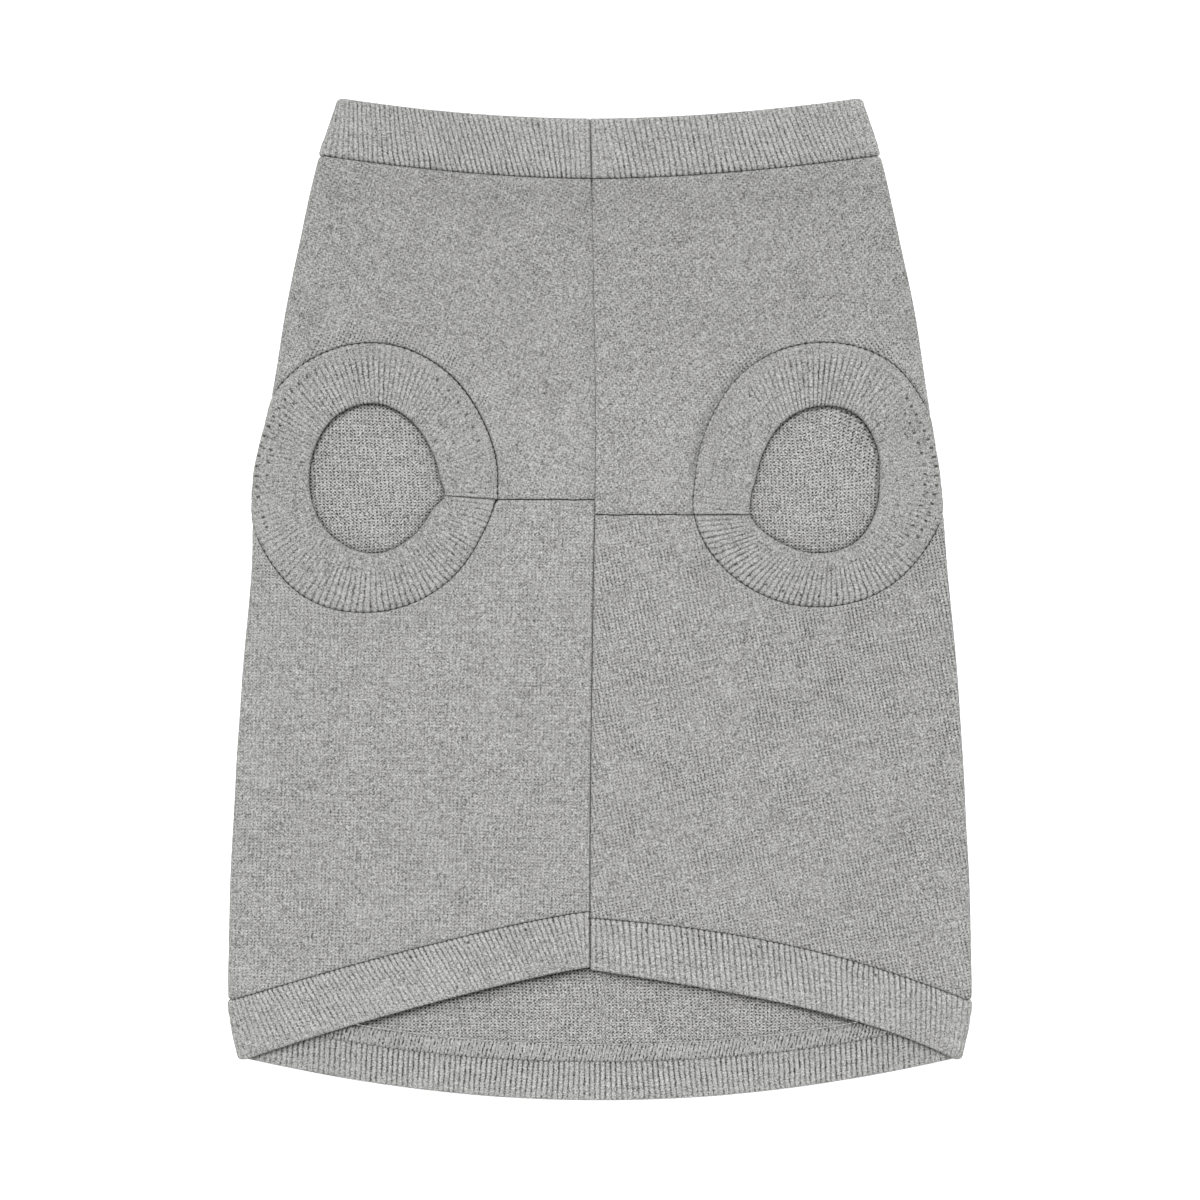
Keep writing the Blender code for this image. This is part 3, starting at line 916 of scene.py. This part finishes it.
def overlock_thread(name, material):
    """The thread that runs to and fro over the allowance."""
    curve = bpy.data.curves.new(name, "CURVE")
    curve.dimensions = "3D"
    curve.bevel_depth = THREAD_RADIUS * MM
    curve.bevel_resolution = 2
    turns = int(THREAD_RUN / OVERLOCK)
    draw = np.random.default_rng(73)
    share, step = (np.tile(values, turns) for values in np.transpose(THREAD_STITCH))
    step = step + np.repeat(np.arange(turns), len(THREAD_STITCH))
    across = THREAD_START - step * OVERLOCK + draw.normal(0, 0.16, len(step))
    share = share + draw.normal(0, 0.015, len(share))
    points = allowance_place(across, share, np.full(len(share), 1.05))
    spline = curve.splines.new("POLY")
    spline.points.add(len(points) - 1)
    spline.points.foreach_set("co", np.pad(points * MM, ((0, 0), (0, 1))).ravel())
    curve.materials.append(material)
    return placed(name, curve)


# ---- materials


def operator(operation):
    return lambda self, other: self.math(operation, other)


class Shade:
    """An output in a material's nodes that takes part in Python arithmetic."""

    def __init__(self, tree, socket):
        self.tree = tree
        self.socket = socket

    def node(self, kind, settings=None, inputs=None, output=0):
        """An output of a new node, whose inputs are given by name or by number."""
        made = self.tree.nodes.new("ShaderNode" + kind)
        for name, value in (settings or {}).items():
            setattr(made, name, value)
        for name, value in (inputs or {}).items():
            if isinstance(value, Shade):
                self.tree.links.new(value.socket, made.inputs[name])
            else:
                made.inputs[name].default_value = value
        return Shade(self.tree, made.outputs[output])

    def math(self, operation, *others):
        return self.node("Math", {"operation": operation}, dict(enumerate((self, *others))))

    __add__ = __radd__ = operator("ADD")
    __mul__ = __rmul__ = operator("MULTIPLY")
    __sub__ = operator("SUBTRACT")
    __truediv__ = operator("DIVIDE")
    __pow__ = operator("POWER")

    def __rsub__(self, other):
        return self * -1 + other

    def step(self, low, high):
        """0 at low, 1 at high and smooth between."""
        inputs = {"Value": self, "From Min": low, "From Max": high}
        return self.node("MapRange", {"interpolation_type": "SMOOTHSTEP"}, inputs)

    def hump(self):
        """1 halfway between two whole numbers and 0 at each."""
        return (self * math.pi).math("SINE").math("ABSOLUTE")

    def wave(self):
        """1 at each whole number and -1 halfway between two."""
        return (self * (2 * math.pi)).math("COSINE")


def set_inputs(node, values):
    for name, value in values.items():
        node.inputs[name].default_value = value


class Knit:
    """A material being made, with what its patterns are drawn from."""

    def __init__(self, name):
        self.material = bpy.data.materials.new(name)
        self.material.use_nodes = True
        tree = self.material.node_tree
        self.shader = tree.nodes["Principled BSDF"]
        self.node = Shade(tree, None).node
        self.place = self.node("TexCoord", output="Object")
        self.wale, self.course = self.pair("knit")

    def pair(self, uv_map):
        uv = self.node("UVMap", {"uv_map": uv_map}, output="UV")
        return [uv.node("SeparateXYZ", inputs={0: uv}, output=axis) for axis in "XY"]

    def attribute(self, word):
        return self.node("Attribute", {"attribute_name": word}, output="Fac")

    def noise(self, spread, detail=2):
        """Noise about 0, with features about spread millimetres wide."""
        inputs = {"Vector": self.place, "Scale": 1 / (spread * MM), "Detail": detail}
        return self.node("TexNoise", inputs=inputs) - 0.5

    def along_ribs(self, across, along, seed):
        """Noise about 0 in long streaks that follow the ribs."""
        inputs = {"X": self.wale / across, "Y": self.course / along, "Z": seed}
        where = self.node("CombineXYZ", inputs=inputs)
        inputs = {"Vector": where, "Scale": 1, "Detail": 1}
        return self.node("TexNoise", inputs=inputs) - 0.5

    def each_cell(self, wale, course=None):
        """A different value about 0 for every cell of a pattern, or for every wale."""
        across = wale.math("FLOOR")
        along = course.math("FLOOR") if course else 0
        where = self.node("CombineXYZ", inputs={"X": across, "Y": along})
        return self.node("TexWhiteNoise", {"noise_dimensions": "2D"}, {"Vector": where}) - 0.5

    def heather(self, flecks=1):
        """The tone of yarn spun from lighter and darker fibres, about 1."""
        tone = 1 + self.noise(0.5, 0) * (HEATHER["fleck"] * flecks)
        tone = tone + self.noise(0.28, 1) * (HEATHER["fibre"] * flecks)
        tone = tone + self.along_ribs(7, 1.5, 7) * HEATHER["slub"]
        return tone + self.noise(14, 3) * HEATHER["cloud"]

    def painted_shade_under_bands(self):
        """Painted shade: the dark of the narrow space under a band's edge."""
        space = self.attribute("open")
        near = 0.34 + 0.28 * space.step(-0.6, 1.6) + 0.33 * space.step(0.3, 4)
        return near + 0.05 * space.step(3, 20)

    def finish(self, tone, height, relief):
        """The finished material. height is 1 where the yarn stands relief millimetres proud."""
        tone = tone.math("MAXIMUM", 0.05)
        colour = self.node("VectorMath", {"operation": "SCALE"}, {0: YARN, "Scale": tone})
        inputs = {"Height": height, "Distance": relief * MM, "Strength": 1.0}
        bump = self.node("Bump", inputs=inputs)
        links = self.material.node_tree.links
        links.new(colour.socket, self.shader.inputs["Base Color"])
        links.new(bump.socket, self.shader.inputs["Normal"])
        set_inputs(self.shader, CLOTH_SURFACE)
        return self.material


def knit_face(name):
    """The outer face of fine rib knit: columns of stitches whose two legs make a V. Its grooves,
    the corners between stitches and the dots where they cross are darkened with painted shade, and
    its ridges lightened with a painted highlight.
    """
    knit = Knit(name)
    patches = knit.noise(9, 3).step(-0.2, 0.22)
    strength = knit.attribute("strength") * (0.2 + 1.35 * patches)
    ridge = (knit.wale + knit.noise(2) * 0.12).hump()
    legs = knit.course + (1 - ridge) * 0.2 + knit.noise(2.4) * 0.2
    row = legs.hump()
    leg = knit.each_cell(knit.wale * 2, legs)
    streak = knit.along_ribs(0.8, 6, 4)
    groove = (1 - ridge) ** 2.4 * (strength * (1 + streak * 2))
    corner = (1 - ridge) * (1 - row)
    # heather and the legs' own tones; painted highlight on ridges, painted shade in grooves
    tone = knit.heather(1.15) + leg * HEATHER["leg"] + ridge * strength * 0.1
    # painted shade in the grooves, the corners between stitches and between the rows
    tone = tone - groove * 0.34 - corner * (0.28 + 0.7 * strength) - (1 - row) * 0.07 + 0.01
    # painted shade at the dots where wales and courses cross
    tone = tone - knit.wale.wave() * legs.wave() * (0.06 + 0.1 * strength)
    # painted shade: darker within half a millimetre of a seam, where the cloth rolls down into it
    tone = tone * (0.9 + 0.1 * knit.attribute("seam").step(-0.1, 0.5))
    # the body's shade attribute, mostly painted shade
    tone = tone * (1 - knit.attribute("shade") * 0.3)
    height = ridge * (0.35 + 0.4 * strength) + row * 0.45 + leg * 0.4
    return knit.finish(tone, height, 0.24)


def purl_face(name):
    """The inner face of the knit: rows of half-round loops in columns. The gaps between loops and
    the dots where rows and columns cross are darkened with painted shade, the gaps more under the
    bands' edges.
    """
    knit = Knit(name)
    wale = knit.wale * 0.97 + knit.course * 0.05 + knit.noise(16, 0) * 1.8
    course = knit.course + knit.noise(12, 0) * 1.4 + knit.noise(3, 0) * 0.2
    gap = (1 - wale.hump()) * (1 - course.hump())
    tone = knit.heather(1.45) + knit.each_cell(wale * 2, course) * HEATHER["leg"] + 0.03
    light = knit.painted_shade_under_bands()
    # painted shade in the gaps between loops and at the dots, deeper under the bands' edges
    tone = (tone - wale.wave() * course.wave() * 0.24) * light - gap * (1.9 - 0.8 * light)
    return knit.finish(tone, (1 - gap) * 0.7 + knit.noise(0.5, 0) * 0.6, 0.28)


def rib_face(name, pale, holes=()):
    """A band's modelled ribs: beads of stitches along them, painted shade in the valleys between
    them and a painted highlight on their crests. holes are rows of needle holes, painted as dark
    dots of shade: (distance from the seam, spacing, first and last place along)."""
    knit = Knit(name)
    patches = knit.noise(7, 2).step(-0.2, 0.15)
    strength = knit.attribute("strength") * (0.8 + 0.3 * patches)
    ridge = (knit.wale + knit.noise(1.6, 1) * 0.12).hump()
    bead = (knit.course + (1 - ridge) * 0.3 + knit.each_cell(knit.wale)).hump()
    streak = knit.along_ribs(0.7, 3, 2)
    painted_valley_shade = (1 - ridge) ** 2 * strength * (1 + streak * 2.4)
    along, width = knit.pair("edge")
    # painted highlight on the ribs' crests
    crest = (ridge ** 1.5) * strength
    loop = knit.each_cell(knit.wale * 3, knit.course * 1.3)
    tone = knit.heather(1.2) + loop * (0.6 * HEATHER["leg"]) + crest * (0.1 + 0.14 * bead)
    # painted shade in the valleys between ribs, deeper between beads
    tone = tone - painted_valley_shade * (0.62 + 0.2 * (1 - bead))
    tone = tone - (1 - bead) * 0.04 - (1 - strength) * 0.05
    # painted shade: darker right at the band's seam, and where it lies under another band's edge
    tone = tone * (0.93 + 0.07 * width.step(-0.1, 0.6)) * knit.painted_shade_under_bands() * pale
    # needle holes painted as dark dots: painted shade in the holes
    for row, spacing, start, end in holes:
        beside = 1 - (width - row).math("ABSOLUTE").step(0.25, 0.6)
        apart = (along / spacing).math("PINGPONG", 0.5) * spacing
        within = (1 - apart.step(0.2, 0.55)) * beside * along.step(start, start + 12)
        within = within * (1 - along.step(end - 12, end)) * knit.noise(6).step(-0.2, -0.06)
        tone = tone * (1 - within * 0.75)
    height = bead * 0.35 * strength + knit.noise(0.5) * 1.1
    return knit.finish(tone, height, 0.26)


def allowance_face(name):
    """Cloth that is cut and overlocked: ribs pulled slanting under the thread, with painted shade
    in the gaps between them and under the belly side's hem.
    """
    knit = Knit(name)
    slant = knit.wale * 2.1 + knit.course * 0.22 + knit.noise(1.4) * 0.9
    # painted shade in the gaps between the slanting ribs
    gap = (1 - slant.hump()) ** 1.2 * knit.noise(0.9, 1).step(-0.12, 0.08)
    tone = (knit.heather(1.4) - gap * 1.3 + 0.24) * knit.painted_shade_under_bands()
    return knit.finish(tone, slant.hump() * 0.9 + knit.noise(0.4) * 0.6, 0.4)


def thread_face(name):
    thread = Knit(name)
    twist = thread.noise(0.35, 2)
    return thread.finish(1.22 + twist * 0.8, twist, 0.08)


# ---- stage


def set_stage():
    floor = bpy.data.meshes.new("floor")
    mesh = bmesh.new()
    bmesh.ops.create_grid(mesh, x_segments=1, y_segments=1, size=FLOOR_HALF)
    bmesh.ops.translate(mesh, verts=mesh.verts, vec=(0, 0, -FLOOR_DOWN))
    mesh.to_mesh(floor)
    mesh.free()
    paint = bpy.data.materials.new("pale_floor")
    paint.use_nodes = True
    set_inputs(paint.node_tree.nodes["Principled BSDF"], FLOOR_SURFACE)
    floor.materials.append(paint)
    placed("floor", floor)

    world = bpy.data.worlds.new("studio")
    world.use_nodes = True
    set_inputs(world.node_tree.nodes["Background"], {"Color": WHITE, "Strength": SKY})
    bpy.context.scene.world = world
    bpy.context.scene.view_settings.view_transform = "Standard"

    for name, where, strength, softness in LIGHTS:
        light = bpy.data.lights.new(name, "SUN")
        light.energy = strength
        light.angle = math.radians(softness)
        lamp = placed(name, light)
        lamp.location = where
        lamp.rotation_euler = (-Vector(where)).to_track_quat("-Z", "Y").to_euler()

    lens = bpy.data.cameras.new("camera")
    lens.lens = LENS
    lens.sensor_width = SENSOR
    camera = placed("camera", lens)
    camera.location = (0, 0, CAMERA_UP)
    bpy.context.scene.camera = camera


set_stage()
left_rib = rib_face("armhole_rib_left", 0.94, ARMHOLE_HOLES[-1])
right_rib = rib_face("armhole_rib_right", 0.94, ARMHOLE_HOLES[1])
body = make_body([knit_face("heather_knit_outer_face"), purl_face("heather_knit_inner_face")])
neck = round_band("neck_band_ribs", neck_height, NECK_RIBS, rib_face("neck_rib", 1))
hem = round_band("hem_band_ribs", hem_height, HEM_RIBS, rib_face("hem_rib", 1.04, HEM_HOLES))
left = armhole_band("armhole_band_left_ribs", -1, left_rib)
right = armhole_band("armhole_band_right_ribs", 1, right_rib)
allowance = hem_allowance("hem_seam_allowance", allowance_face("overlocked_edge"))
thread = overlock_thread("hem_overlock_thread", thread_face("sewing_thread"))

BAND_SLOT = "band_rib_knit"
SHEETS = (
    # piece, CAD node, slot, (width, length), area where it isn't a plain strip, pieces with it
    (body, "body", "fine_rib_knit", (0.43, 0.26), 0.0915, []),
    (neck, "neck_band", BAND_SLOT, (0.336, 0.0172), None, []),
    (hem, "hem_band", BAND_SLOT, (0.44, 0.0172), None, [allowance, thread]),
    (left, "armhole_band_left", BAND_SLOT, (0.19, 0.0172), None, []),
    (right, "armhole_band_right", BAND_SLOT, (0.19, 0.0172), None, []),
)
for piece, node, slot, *_ in SHEETS:
    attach(piece, "root")
    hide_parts(node)
for piece in (allowance, thread):
    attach(piece, "root")
